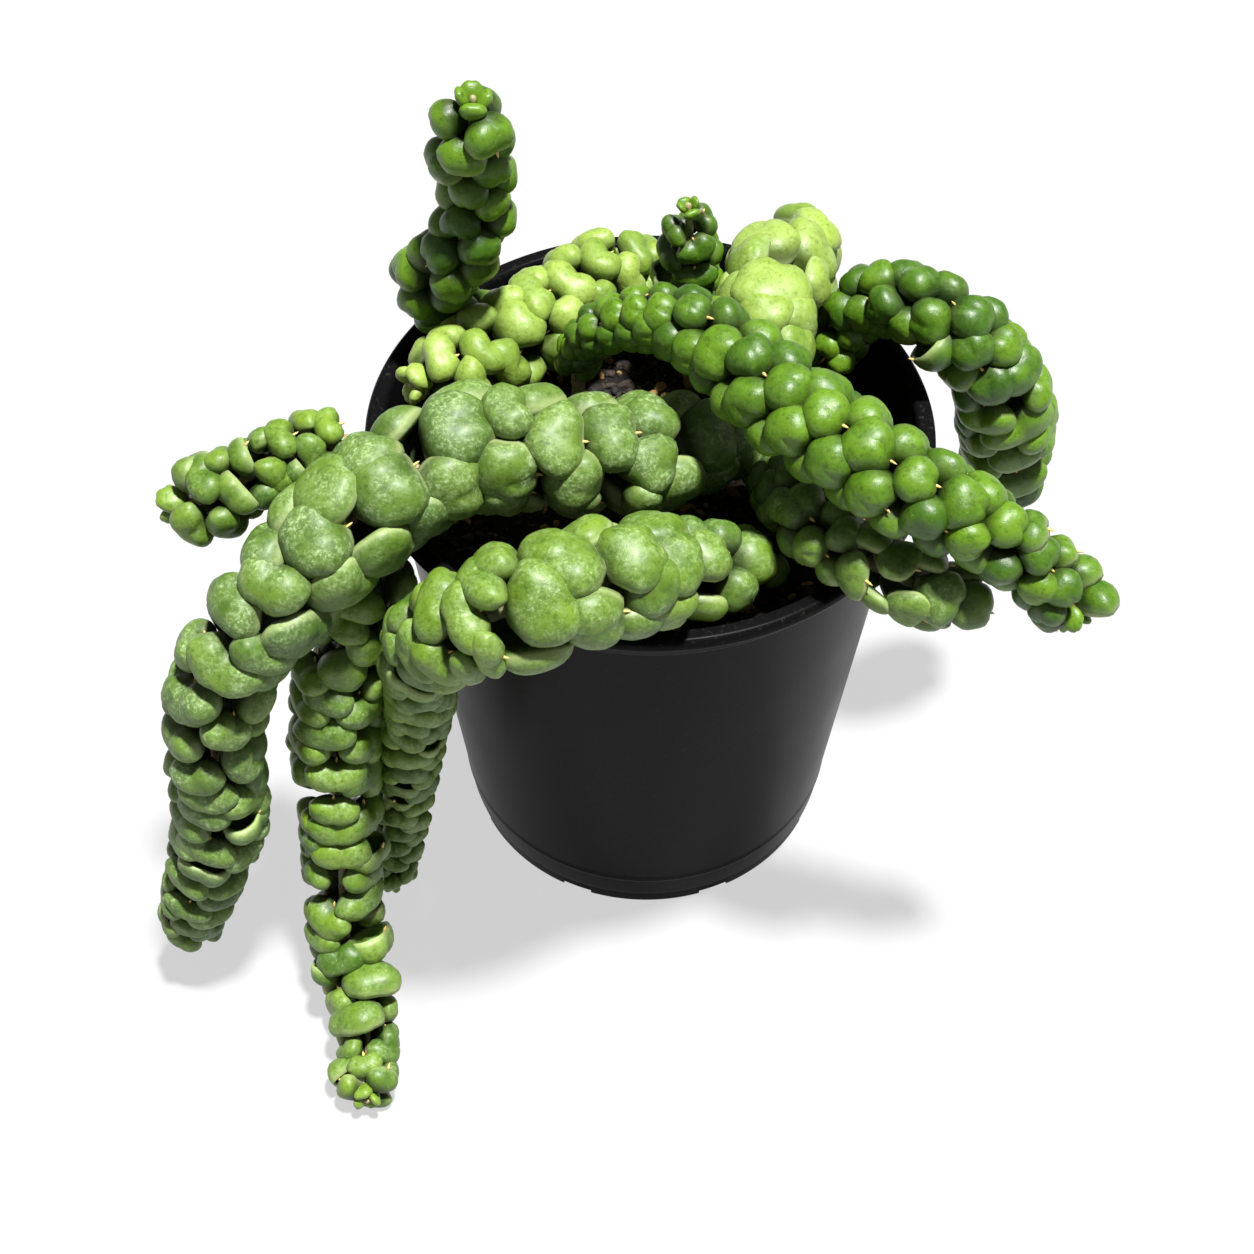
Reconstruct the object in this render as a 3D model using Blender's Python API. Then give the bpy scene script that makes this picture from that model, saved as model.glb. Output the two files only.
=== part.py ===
"""A potted dischidia: a round plastic nursery pot, its soil, and eleven stems clothed in domed leaves.

Units are metres and +Z is up. The origin is on the floor, under the middle of the pot's base.
Every stem is a tube along a smooth route. Its leaves, which press against one another, are closed
sleeves around the stem, one for each stretch of it, with a bulge for every leaf.
"""

import math

import bmesh
import bpy
import numpy as np
from mathutils import Vector

MM = 0.001

# The pot.
POT_HEIGHT = 149.5 * MM
RIM_RADIUS = 75 * MM
BASE_RADIUS = 53.5 * MM
POT_WALL = 1.3 * MM
LIP_WIDTH = 4.8 * MM
LIP_DEPTH = 4.2 * MM
BAND_DEPTH = 8.5 * MM
BAND_STEP = 1.2 * MM
LIP_OVERHANG = 6.8 * MM
FOOT_HEIGHT = 4.5 * MM
FOOT_STEP = 1.2 * MM
FOOT_WIDTH = 5 * MM
BASE_THICKNESS = 2 * MM
BASE_LIFT = 2.4 * MM
PAD_RADIUS = 14 * MM
POT_SEGMENTS = 40
DRAIN_COUNT = 8
DRAIN_RADIUS = 4 * MM
DRAIN_CIRCLE = 38 * MM
NOTCH_WIDTH = 9 * MM

# The soil and what lies on it.
HEADSPACE = 17 * MM
SOIL_CROWN = 3 * MM
SOIL_CLEARANCE = 0.4 * MM
SOIL_RINGS = 3
ROOT_DEPTH = 9 * MM
SOCKET_CLEARANCE = 0.6 * MM
CHIP_CLEARANCE = 0.4 * MM

# The stems.
STEM_RADIUS = 2.0 * MM
STEM_TIP_RADIUS = 0.9 * MM
STEM_STEP = 5.5 * MM
BRANCH_CLEARANCE = 0.6 * MM

# The leaves.
TUNNEL_CLEARANCE = 1.2 * MM
SLEEVE_GAP = 0.5 * MM
TIP_GAP = 1 * MM
SLEEVE_SIDES = 10
SLEEVE_STEP = 5.4 * MM
BULGE_DEPTH = 0.24
BULGE_ANGLE = math.radians(62)
FLOOR_CLEARANCE = 0.6 * MM

# The plant is drawn for a pot of this size. It grows and shrinks with the rim, and what trails
# below the rim is as long as the pot is high.
DRAWN_RIM_RADIUS = 75 * MM
DRAWN_RIM_HEIGHT = 149.5 * MM

# Each stem, in millimetres: its route, the bare length from the route's start to its first
# leaves, the outer radius of its leaves at even shares of the leafy length, the spacing of its
# leaf pairs, the number of sleeves, and for a branch its parent and how far along that it grows.
STEMS = {
    "left_long": {
        "route": [(22, -4, 147), (16, -12, 153), (5, -20, 160), (-10, -28, 166), (-27, -30, 170),
                  (-45, -32, 172), (-61, -41, 170), (-76, -52, 164), (-89, -62, 154),
                  (-102, -67, 138), (-110, -70, 118), (-113, -72, 96), (-115, -74, 72),
                  (-123, -75, 46), (-132, -77, 15)],
        "bare": 7, "leaf_radii": [9.5, 15, 15.5, 15.5, 15, 13.5, 12.5, 12, 11.5, 10, 6],
        "pitch": 11, "sleeves": 8,
    },
    "front_left": {
        "route": [(26, -45, 143), (20, -51, 150), (9, -60, 159), (-5, -68, 167), (-19, -75, 169),
                  (-33, -79, 167), (-47, -76, 156), (-57, -68, 136), (-59, -62, 112),
                  (-63, -58, 88), (-67, -55, 62), (-71, -54, 36), (-75, -58, 14)],
        "bare": 0, "leaf_radii": [8, 12, 15, 15.5, 13, 9.5, 8.5, 8.5, 8, 7.5, 6],
        "pitch": 10, "sleeves": 6,
    },
    "right_diagonal": {
        "route": [(-19, 14, 145), (-19, 13, 160), (-14, 7, 175), (-2, 1, 185), (12, -9, 190),
                  (24, -25, 191), (35, -37, 190), (47, -47, 188), (58, -55, 185), (70, -58, 180),
                  (83, -61, 173), (96, -64, 161), (103, -68, 150)],
        "bare": 25, "leaf_radii": [6, 8, 10, 12, 13, 13, 12.5, 11.5, 10, 8],
        "pitch": 9, "sleeves": 5,
    },
    "right_arch": {
        "route": [(50, 28, 143), (53, 32, 155), (60, 31, 165), (73, 22, 169), (86, 18, 160),
                  (96, 20, 140), (101, 27, 114), (106, 34, 90)],
        "bare": 3, "leaf_radii": [7, 9, 10, 11.5, 12.5, 12, 9],
        "pitch": 9, "sleeves": 5,
    },
    "right_low": {
        "route": [(31, -13, 143), (33, -23, 150), (36, -36, 158), (40, -46, 160), (48, -54, 160),
                  (57, -60, 159), (67, -62, 155), (78, -60, 148)],
        "bare": 5, "leaf_radii": [6, 8, 8.8, 8.8, 8.8, 8],
        "pitch": 8, "sleeves": 3,
    },
    "back_middle": {
        "route": [(38, 42, 145), (40, 48, 157), (39, 47, 168), (34, 32, 174), (31, 18, 176),
                  (29, 5, 175), (31, -5, 168)],
        "bare": 17, "leaf_radii": [11, 13.5, 13.5, 10],
        "pitch": 10, "sleeves": 2,
    },
    "back_short": {
        "route": [(11, 30, 145), (11, 32, 158), (10, 32, 171), (10, 31, 184), (9, 29, 199)],
        "bare": 7, "leaf_radii": [8.5, 9, 8, 5.5],
        "pitch": 7, "sleeves": 2,
    },
    "back_left": {
        "route": [(-1, 46, 143), (-5, 52, 155), (-14, 43, 161), (-26, 31, 160), (-38, 20, 159),
                  (-50, 10, 159), (-63, 2, 160)],
        "bare": 7, "leaf_radii": [7.5, 9.5, 10.5, 10.5, 10, 8.5],
        "pitch": 9, "sleeves": 3,
    },
    "upright_left": {
        "route": [(-42, 37, 143), (-49, 37, 154), (-60, 32, 167), (-54, 24, 181), (-47, 23, 192),
                  (-44, 25, 204), (-44, 24, 217), (-44, 22, 230), (-43, 21, 238)],
        "bare": 20, "leaf_radii": [9.5, 10, 10, 9.5, 9.5, 9],
        "pitch": 8.5, "sleeves": 3,
    },
    "left_middle": {
        "route": [(-66, -44, 150), (-73, -49, 136), (-79, -53, 120), (-82, -57, 102),
                  (-84, -61, 80), (-84, -68, 57), (-85, -76, 37), (-84, -86, 21), (-80, -97, 12),
                  (-78, -108, 9), (-77, -125, 8)],
        "bare": 11, "leaf_radii": [10, 11, 11, 10.5, 10, 9.5, 8, 7],
        "pitch": 10, "sleeves": 6, "branch_of": "left_long", "branch_at": 0.42,
    },
    "left_tip": {
        "route": [(-74, -30, 173), (-86, -33, 173), (-97, -38, 170), (-107, -42, 165),
                  (-119, -40, 160)],
        "bare": 18.5, "leaf_radii": [7.5, 9.5, 9],
        "pitch": 8.5, "sleeves": 1, "branch_of": "left_long", "branch_at": 0.42,
    },
}

# Bits of pumice on the soil: the turn in degrees at which each lies, its share of the way to the
# soil's edge, and its half sizes in millimetres.
CHIPS = [(272, 0.86, (3.2, 2.4, 1.8)), (295, 0.9, (2.6, 2.0, 1.6)), (343, 0.7, (2.8, 2.2, 1.7))]


def clear_scene():
    for thing in list(bpy.data.objects):
        bpy.data.objects.remove(thing)


def material(name, colour, roughness):
    made = bpy.data.materials.new(name)
    made.use_nodes = True
    shader = made.node_tree.nodes["Principled BSDF"]
    shader.inputs["Base Color"].default_value = (*colour, 1)
    shader.inputs["Roughness"].default_value = roughness
    shader.inputs["Metallic"].default_value = 0
    return made


def add_object(name, mesh, finish=None):
    made = bpy.data.objects.new(name, mesh)
    if finish:
        mesh.materials.append(finish)
    bpy.context.scene.collection.objects.link(made)
    return made


def mesh_from(name, builder, smooth_angle=40):
    """The mesh that builder(bm) makes, with its normals out and its round stretches smooth."""
    bm = bmesh.new()
    builder(bm)
    bmesh.ops.recalc_face_normals(bm, faces=bm.faces)
    mesh = bpy.data.meshes.new(name)
    bm.to_mesh(mesh)
    bm.free()
    mesh.shade_smooth()
    mesh.set_sharp_from_angle(angle=math.radians(smooth_angle))
    return mesh


def spin_profile(profile, segments):
    """A builder that turns a closed outline of (radius, height) points about the Z axis."""

    def build(bm):
        points = [bm.verts.new((r, 0, z)) for r, z in profile]
        edges = [bm.edges.new(pair) for pair in zip(points, points[1:])]
        bmesh.ops.spin(bm, geom=points + edges, cent=(0, 0, 0), axis=(0, 0, 1),
                       angle=math.tau, steps=segments, use_merge=True)
        bmesh.ops.remove_doubles(bm, verts=bm.verts, dist=0.01 * MM)

    return build


def subtract(target, cutter):
    """Cuts cutter from target with a Boolean, and keeps the cutter as a hidden guide."""
    cutter.hide_render = True
    cutter.display_type = "WIRE"
    cut = target.modifiers.new("cut " + cutter.name, "BOOLEAN")
    cut.operation = "DIFFERENCE"
    cut.object = cutter


# The pot


def side_radius(z):
    """The outer radius of the pot's tapered side at height z."""
    top = POT_HEIGHT - LIP_DEPTH - BAND_DEPTH
    low = BASE_RADIUS + FOOT_STEP
    high = RIM_RADIUS - LIP_OVERHANG
    return low + (high - low) * (z - FOOT_HEIGHT) / (top - FOOT_HEIGHT)


def pot_profile():
    """The pot's wall as an outline of (radius, height), from the pad under its base, up the
    outside, over the lip and down the inside to the middle of the base's upper face."""
    edge = 0.8 * MM
    band_top = POT_HEIGHT - LIP_DEPTH
    band_foot = band_top - BAND_DEPTH
    band_radius = side_radius(band_foot) + BAND_STEP
    lip_inside = RIM_RADIUS - LIP_WIDTH
    band_radius_top = lip_inside + POT_WALL - 0.5 * MM
    base_top = BASE_LIFT + BASE_THICKNESS
    foot_inside = BASE_RADIUS - FOOT_WIDTH
    outside = [
        (0, 0), (PAD_RADIUS, 0), (PAD_RADIUS + 2 * MM, BASE_LIFT),
        (foot_inside - edge, BASE_LIFT), (foot_inside, 0), (BASE_RADIUS - edge, 0),
        (BASE_RADIUS, edge), (BASE_RADIUS, FOOT_HEIGHT),
        (side_radius(FOOT_HEIGHT + edge), FOOT_HEIGHT + edge),
        (side_radius(band_foot), band_foot), (band_radius, band_foot + edge),
        (band_radius_top, band_top), (RIM_RADIUS - edge, band_top),
        (RIM_RADIUS, band_top + edge), (RIM_RADIUS, POT_HEIGHT - edge),
        (RIM_RADIUS - edge, POT_HEIGHT),
    ]
    inside = [
        (lip_inside + edge, POT_HEIGHT), (lip_inside, POT_HEIGHT - edge),
        (band_radius_top - POT_WALL, band_top), (band_radius - POT_WALL, band_foot),
        (side_radius(band_foot) - POT_WALL, band_foot - POT_WALL),
        (side_radius(base_top) - POT_WALL, base_top + 2 * MM),
        (side_radius(base_top) - POT_WALL - 2 * MM, base_top), (0, base_top),
    ]
    return outside + inside


def drain_cutters(bm):
    """Round holes through the base, and a notch in the foot beside each."""
    deep = BASE_LIFT + 2 * BASE_THICKNESS
    for number in range(DRAIN_COUNT):
        turn = math.tau * (number + 0.5) / DRAIN_COUNT
        out = Vector((math.cos(turn), math.sin(turn), 0))
        hole = bmesh.ops.create_cone(bm, cap_ends=True, segments=10, radius1=DRAIN_RADIUS,
                                     radius2=DRAIN_RADIUS, depth=2 * deep)
        bmesh.ops.translate(bm, verts=hole["verts"], vec=out * DRAIN_CIRCLE)
        notch = bmesh.ops.create_cube(bm, size=1)
        bmesh.ops.scale(bm, verts=notch["verts"],
                        vec=(FOOT_WIDTH + 2 * MM, NOTCH_WIDTH, BASE_LIFT * 1.6))
        bmesh.ops.translate(bm, verts=notch["verts"],
                            vec=(BASE_RADIUS - FOOT_WIDTH / 2, 0, 0))
        bmesh.ops.rotate(bm, verts=notch["verts"], cent=(0, 0, 0),
                         matrix=Vector((1, 0, 0)).rotation_difference(out).to_matrix())


def make_pot(finish):
    pot = add_object("pot", mesh_from("pot", spin_profile(pot_profile(), POT_SEGMENTS)), finish)
    subtract(pot, add_object("drain_holes", mesh_from("drain_holes", drain_cutters)))
    return pot


# The soil


def soil_edge_height():
    return POT_HEIGHT - HEADSPACE


def soil_edge_radius():
    return side_radius(soil_edge_height()) - POT_WALL - SOIL_CLEARANCE


def soil_height(x, y):
    """The height of the soil's crowned top at a place."""
    share = min(1, math.hypot(x, y) / soil_edge_radius())
    return soil_edge_height() + SOIL_CROWN * (1 - share**2)


def soil_profile():
    foot = BASE_LIFT + BASE_THICKNESS + SOIL_CLEARANCE
    foot_radius = side_radius(foot) - POT_WALL - SOIL_CLEARANCE
    shares = [ring / SOIL_RINGS for ring in range(SOIL_RINGS, 0, -1)]
    radii = [soil_edge_radius() * share for share in shares]
    top = [(r, soil_height(r, 0)) for r in radii] + [(0, soil_height(0, 0))]
    return [(0, foot), (foot_radius - 3 * MM, foot), (foot_radius - SOIL_CLEARANCE, foot + 3 * MM)] + top


# The stems' routes


def plant_mm():
    """A millimetre of the plant as drawn, on the plant that fits this pot."""
    return MM * RIM_RADIUS / DRAWN_RIM_RADIUS


def placed(point, leaf_radius):
    """A route's point on this pot: above the rim it keeps its place to the rim, and below the
    rim it keeps its share of the height. Leaves never reach below the floor."""
    x, y, z = point
    above = z * MM - DRAWN_RIM_HEIGHT
    if above >= 0:
        height = POT_HEIGHT + above * plant_mm() / MM
    else:
        height = POT_HEIGHT * z * MM / DRAWN_RIM_HEIGHT
    return np.array([x * plant_mm(), y * plant_mm(), max(height, leaf_radius + FLOOR_CLEARANCE)])


def smooth_path(points, step):
    """Points at even steps along a smooth curve through the given ones."""
    points = np.array(points)
    padded = np.vstack([2 * points[0] - points[1], points, 2 * points[-1] - points[-2]])
    curve = []
    for p0, p1, p2, p3 in zip(padded, padded[1:], padded[2:], padded[3:]):
        for t in np.linspace(0, 1, 12, endpoint=False):
            curve.append(0.5 * (2 * p1 + (p2 - p0) * t + (2 * p0 - 5 * p1 + 4 * p2 - p3) * t**2
                                + (3 * p1 - p0 - 3 * p2 + p3) * t**3))
    curve = np.array(curve + [points[-1]])
    return at_even_steps(curve, step)


def lengths_along(path):
    return np.concatenate([[0], np.cumsum(np.linalg.norm(np.diff(path, axis=0), axis=1))])


def point_at(path, distance):
    along = lengths_along(path)
    return np.array([np.interp(distance, along, path[:, axis]) for axis in range(3)])


def at_even_steps(path, step):
    total = lengths_along(path)[-1]
    count = max(2, round(total / step) + 1)
    return np.array([point_at(path, share * total) for share in np.linspace(0, 1, count)])


def direction_at(path, distance):
    total = lengths_along(path)[-1]
    reach = 1.5 * MM
    ahead = point_at(path, min(total, distance + reach))
    behind = point_at(path, max(0, distance - reach))
    return Vector(ahead - behind).normalized()


def leaf_radius_at(stem, share):
    """The outer radius of a stem's leaves at a share of the leafy length."""
    radii = stem["leaf_radii"]
    return float(np.interp(share, np.linspace(0, 1, len(radii)), radii)) * plant_mm()


def leafy_stretch(stem, path):
    """The distances along a stem where its leaves begin and end."""
    first_point = placed(stem["route"][0], 0)
    nearest = np.linalg.norm(path - first_point, axis=1).argmin()
    along = lengths_along(path)
    return along[nearest] + stem["bare"] * plant_mm(), along[-1] - TIP_GAP


def branch_start(parent, path, share, towards):
    """The place where a branch leaves the outside of its parent's leaves."""
    distance = share * lengths_along(path)[-1]
    first, last = leafy_stretch(parent, path)
    middle = Vector(point_at(path, distance))
    forward = direction_at(path, distance)
    out = Vector(towards) - middle
    out -= forward * out.dot(forward)
    reach = leaf_radius_at(parent, (distance - first) / (last - first)) + STEM_RADIUS
    return np.array(middle + out.normalized() * (reach + BRANCH_CLEARANCE))


def route_of(stem, paths):
    """The fine path of a stem: from its root in the soil, or from its parent's leaves."""
    shares = np.linspace(0, 1, len(stem["route"]))
    points = [placed(point, leaf_radius_at(stem, share)) for point, share in zip(stem["route"], shares)]
    if "branch_of" in stem:
        parent = stem["branch_of"]
        start = branch_start(STEMS[parent], paths[parent], stem["branch_at"], points[0])
        return smooth_path([start] + points, MM)
    x, y = points[0][:2]
    ground = soil_height(x, y)
    return smooth_path([(x, y, ground - ROOT_DEPTH), (x, y, ground)] + points, MM)


def stem_radius_at(share):
    return STEM_RADIUS + (STEM_TIP_RADIUS - STEM_RADIUS) * share


def tube_curve(name, path, extra_radius, step):
    """A round tube along a path, as a curve with filled caps. It tapers from root to tip."""
    points = at_even_steps(path, step)
    curve = bpy.data.curves.new(name, "CURVE")
    curve.dimensions = "3D"
    curve.bevel_depth = STEM_RADIUS
    curve.bevel_resolution = 1
    curve.use_fill_caps = True
    spline = curve.splines.new("POLY")
    spline.points.add(len(points) - 1)
    for number, (spot, point) in enumerate(zip(spline.points, points)):
        share = number / (len(points) - 1)
        spot.co = (*point, 1)
        spot.radius = (stem_radius_at(share) + extra_radius) / STEM_RADIUS
    return curve


def make_stem(name, path, finish):
    curve = tube_curve(name, path, 0, STEM_STEP)
    curve.materials.append(finish)
    made = bpy.data.objects.new(name, curve)
    bpy.context.scene.collection.objects.link(made)
    return made


def make_socket(name, path):
    """The cutter that makes room in the soil for the root end of a stem."""
    end = ROOT_DEPTH + SOIL_CROWN + 3 * STEM_STEP
    reach = np.array([point_at(path, d) for d in np.arange(0, end, STEM_STEP)])
    reach[0] -= np.array([0, 0, SOCKET_CLEARANCE])
    guide = bpy.data.objects.new(name, tube_curve(name, reach, SOCKET_CLEARANCE, STEM_STEP))
    bpy.context.scene.collection.objects.link(guide)
    bpy.context.view_layer.update()
    mesh = bpy.data.meshes.new_from_object(guide.evaluated_get(bpy.context.evaluated_depsgraph_get()))
    bpy.data.objects.remove(guide)
    return add_object(name, mesh)


# The leaves


def carried_frames(path, distances):
    """At each distance along a path: the point, its direction, and a sideways direction that
    turns as little as possible from one to the next."""
    frames = []
    side = None
    for distance in distances:
        forward = direction_at(path, distance)
        if side is None:
            side = forward.orthogonal()
        side = (side - forward * side.dot(forward)).normalized()
        frames.append((Vector(point_at(path, distance)), forward, side.copy()))
    return frames


def bulge(turn, distance, pitch):
    """How far out the leaves stand, from 0 in a crease to 1 on a leaf's crown. Leaves grow in
    opposite pairs, each pair a quarter turn from the last."""
    height = 0
    nearest = round(distance / pitch)
    for pair in (nearest - 1, nearest, nearest + 1):
        along = (distance - pair * pitch) / (0.85 * pitch)
        for facing in (0, math.pi):
            off = (turn - pair * math.pi / 2 - facing + math.pi) % math.tau - math.pi
            height = max(height, 1 - along**2 - (off / BULGE_ANGLE) ** 2)
    return math.sqrt(max(0, height))


def sleeve_ring(frame, radius_at_turn, count):
    point, forward, side = frame
    other = forward.cross(side)
    ring = []
    for number in range(count):
        turn = math.tau * number / count
        outward = side * math.cos(turn) + other * math.sin(turn)
        ring.append(point + outward * radius_at_turn(turn))
    return ring


def sleeve_builder(outer, inner):
    """A builder that joins outer rings and inner rings, of half the count, into a closed sleeve."""

    def build(bm):
        skins = [[[bm.verts.new(spot) for spot in ring] for ring in rings] for rings in (outer, inner)]
        for rings in skins:
            count = len(rings[0])
            for low, high in zip(rings, rings[1:]):
                for n in range(count):
                    m = (n + 1) % count
                    bm.faces.new((low[n], low[m], high[m], high[n]))
        for end in (0, -1):
            out, into = skins[0][end], skins[1][end]
            for n in range(len(into)):
                m = (n + 1) % len(into)
                bm.faces.new((out[2 * n], out[2 * n + 1], into[n]))
                bm.faces.new((out[2 * n + 1], out[(2 * n + 2) % len(out)], into[m], into[n]))

    return build


def make_sleeves(name, stem, path, finish):
    """The leaves of one stem, as a sleeve for each stretch of it."""
    total = lengths_along(path)[-1]
    begin, end = leafy_stretch(stem, path)
    pitch = stem["pitch"] * plant_mm()
    count = stem["sleeves"]
    cuts = np.linspace(begin, end, count + 1)
    steps = max(4, round((end - begin) / count / SLEEVE_STEP))
    joints = [d for first, last in zip(cuts, cuts[1:]) for d in np.linspace(first, last, steps + 1)]
    frames = carried_frames(path, joints)
    for number in range(count):
        first = number * (steps + 1)
        span = list(zip(joints, frames))[first : first + steps + 1]
        outer, inner = [], []
        for step, (distance, (point, forward, side)) in enumerate(span):
            shift = {0: SLEEVE_GAP / 2, steps: -SLEEVE_GAP / 2}.get(step, 0)
            frame = (point + forward * shift, forward, side)
            share = (distance - begin) / (end - begin)
            crown = leaf_radius_at(stem, share)
            outer.append(sleeve_ring(
                frame,
                lambda turn: crown * (1 - BULGE_DEPTH * (1 - bulge(turn, distance, pitch))),
                SLEEVE_SIDES))
            sides = SLEEVE_SIDES // 2
            clear = stem_radius_at(distance / total) + TUNNEL_CLEARANCE
            tunnel = clear / math.cos(math.pi / sides)
            inner.append(sleeve_ring(frame, lambda turn: tunnel, sides))
        label = f"leaves_{name}_{number + 1}"
        add_object(label, mesh_from(label, sleeve_builder(outer, inner), 60), finish)


def make_chip(number, turn, share, half_sizes, finish):
    """A bit of pumice that lies on the soil."""
    half = [value * MM for value in half_sizes]
    reach = (soil_edge_radius() - half[0]) * share
    name = f"pumice_{number}"

    def build(bm):
        bmesh.ops.create_icosphere(bm, subdivisions=1, radius=1)
        bmesh.ops.scale(bm, verts=bm.verts, vec=half)

    chip = add_object(name, mesh_from(name, build, 20), finish)
    highest = soil_height(reach - half[0], 0)
    out = math.radians(turn)
    chip.location = (reach * math.cos(out), reach * math.sin(out), highest + half[2] + CHIP_CLEARANCE)
    return chip


def main():
    clear_scene()
    pot_finish = material("pot plastic", (0.018, 0.018, 0.02), 0.42)
    soil_finish = material("potting mix", (0.03, 0.018, 0.01), 0.95)
    pumice_finish = material("pumice", (0.42, 0.27, 0.1), 0.9)
    stem_finish = material("stem", (0.24, 0.2, 0.1), 0.7)
    leaf_finish = material("leaf", (0.13, 0.27, 0.05), 0.4)

    make_pot(pot_finish)
    soil = add_object("soil", mesh_from("soil", spin_profile(soil_profile(), POT_SEGMENTS)), soil_finish)
    for number, chip in enumerate(CHIPS, start=1):
        make_chip(number, *chip, pumice_finish)

    paths = {}
    for name, stem in STEMS.items():
        paths[name] = route_of(stem, paths)
        make_stem("stem_" + name, paths[name], stem_finish)
        make_sleeves(name, stem, paths[name], leaf_finish)
        if "branch_of" not in stem:
            subtract(soil, make_socket("socket_" + name, paths[name]))


main()
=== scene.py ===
"""A potted dischidia: a black nursery pot of dark mix, and eleven stems of puffed, paired leaves.

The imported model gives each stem's line and how far its leaves reach. Each leaf is then made on
its own, closed and rounded, and pairs of them turn a quarter from one joint to the next.
"""

import math

import bpy
import numpy as np
from mathutils import Matrix, Vector, noise


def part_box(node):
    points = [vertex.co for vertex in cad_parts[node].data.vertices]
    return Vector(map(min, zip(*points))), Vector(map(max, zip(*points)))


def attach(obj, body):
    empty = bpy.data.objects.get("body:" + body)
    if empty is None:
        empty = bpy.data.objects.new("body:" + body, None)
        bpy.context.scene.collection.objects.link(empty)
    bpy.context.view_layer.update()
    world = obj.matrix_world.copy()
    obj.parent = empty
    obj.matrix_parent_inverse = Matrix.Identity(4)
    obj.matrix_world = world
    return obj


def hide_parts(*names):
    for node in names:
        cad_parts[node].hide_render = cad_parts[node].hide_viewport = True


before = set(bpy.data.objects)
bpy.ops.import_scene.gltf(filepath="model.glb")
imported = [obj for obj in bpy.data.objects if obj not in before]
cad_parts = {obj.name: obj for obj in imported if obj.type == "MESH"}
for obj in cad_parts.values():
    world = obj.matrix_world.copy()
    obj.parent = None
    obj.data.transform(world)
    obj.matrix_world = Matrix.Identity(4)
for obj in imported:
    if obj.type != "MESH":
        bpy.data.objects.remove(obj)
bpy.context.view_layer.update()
SOIL_LOW, SOIL_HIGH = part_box("soil")

MM = 0.001
RNG = np.random.default_rng(27)

# The camera stands in front of the pot and above it.
CAMERA_PLACE = Vector((-5.84, -408.05, 562.70)) * MM
CAMERA_DIP = math.radians(50.70)
CAMERA_ROLL = math.radians(0.295)
CAMERA_LENS = 63.16

# Turns round a stem are measured from this direction, towards the front and up.
FRONT = np.array((0.0, -0.633, 0.774))

# The pot's outline, in millimetres.
POT_HEIGHT = 149.5
RIM_RADIUS = 75.0
LIP_WIDTH = 4.8
LIP_DEPTH = 4.2
BAND_DEPTH = 8.5
BAND_STEP = 1.2
TOP_RADIUS = 68.2
BASE_RADIUS = 53.5
FOOT_HEIGHT = 4.5
FOOT_STEP = 0.8
FOOT_WIDTH = 6.0
WALL = 1.3
BASE_LIFT = 2.4
PAD_RADIUS = 14.0
DRAINS = 8
DRAIN_RADIUS = 4.0
DRAIN_CIRCLE = 38.0
POT_SEGMENTS = 192

# Leaf kinds. Sizes are shares of the reach of the leaves at that place: half the width across the
# stem, half the length along it, the rise of the crown, and the depth below the edge, which is 0
# for a leaf that is hollow and open. Then come the fullness of the sides, the notch at the leaf's
# point, the fold down its middle, its two lobes, its lumps, how far it bends round the stem, the
# angle in degrees at which its point lifts, and how pale its edge is. A cup opens towards the
# leaves' points and a bowl away from them.
KINDS = {
    "ball": {"wide": 0.56, "long": 0.54, "tall": 0.52, "belly": 0.46, "plump": 0.90,
             "notch": 0.12, "fold": 0.035, "lobes": 0.07, "lumps": 0.026, "wrap": 0.25, "lift": 4,
             "pale": 0.10},
    "bean": {"wide": 0.82, "long": 0.54, "tall": 0.50, "belly": 0.36, "plump": 0.82,
             "notch": 0.30, "fold": 0.07, "lobes": 0.20, "lumps": 0.032, "wrap": 0.6, "lift": 3,
             "pale": 0.25},
    "scale": {"wide": 0.72, "long": 0.64, "tall": 0.46, "belly": 0.12, "plump": 0.78,
              "notch": 0.12, "fold": 0.045, "lobes": 0.06, "lumps": 0.034, "wrap": 0.65, "lift": 19,
              "pale": 1.0},
    "round": {"wide": 0.82, "long": 0.74, "tall": 0.46, "belly": 0.15, "plump": 0.82,
              "notch": 0.11, "fold": 0.040, "lobes": 0.07, "lumps": 0.030, "wrap": 0.6, "lift": 13,
              "pale": 0.9},
    "cup": {"wide": 0.68, "long": 0.54, "tall": 0.50, "belly": 0.0, "plump": 0.86,
            "notch": 0.14, "fold": 0.04, "lobes": 0.06, "lumps": 0.03, "wrap": 0.2, "lift": 78,
            "pale": 1.2},
    "bowl": {"wide": 0.68, "long": 0.54, "tall": 0.50, "belly": 0.0, "plump": 0.86,
             "notch": 0.14, "fold": 0.04, "lobes": 0.06, "lumps": 0.05, "wrap": 0.1, "lift": -62,
             "pale": 1.2},
}

# Leaf colours: the deep one, the light one, the powdery bloom, how much of the leaf it covers,
# and the roughness of the bare skin.
LEAF_COLOURS = {
    "glossy": ((0.022, 0.073, 0.002), (0.098, 0.198, 0.007), 0.25, 0.42),
    "light": ((0.110, 0.195, 0.014), (0.250, 0.350, 0.055), 0.55, 0.46),
    "green": ((0.040, 0.100, 0.005), (0.140, 0.232, 0.018), 0.70, 0.46),
    "bloomed": ((0.034, 0.085, 0.007), (0.110, 0.190, 0.020), 1.0, 0.52),
}
BLOOM = (0.32, 0.43, 0.21)
EDGE = (0.36, 0.44, 0.18)
HOLLOW = (0.090, 0.190, 0.012)
SPUR = (0.66, 0.46, 0.16)
SPURRED = 0.85

# Leaves that follow a stretch keep this far from the set ones, as a share of both their sizes.
ROOM_SHARE = 0.45

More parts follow.
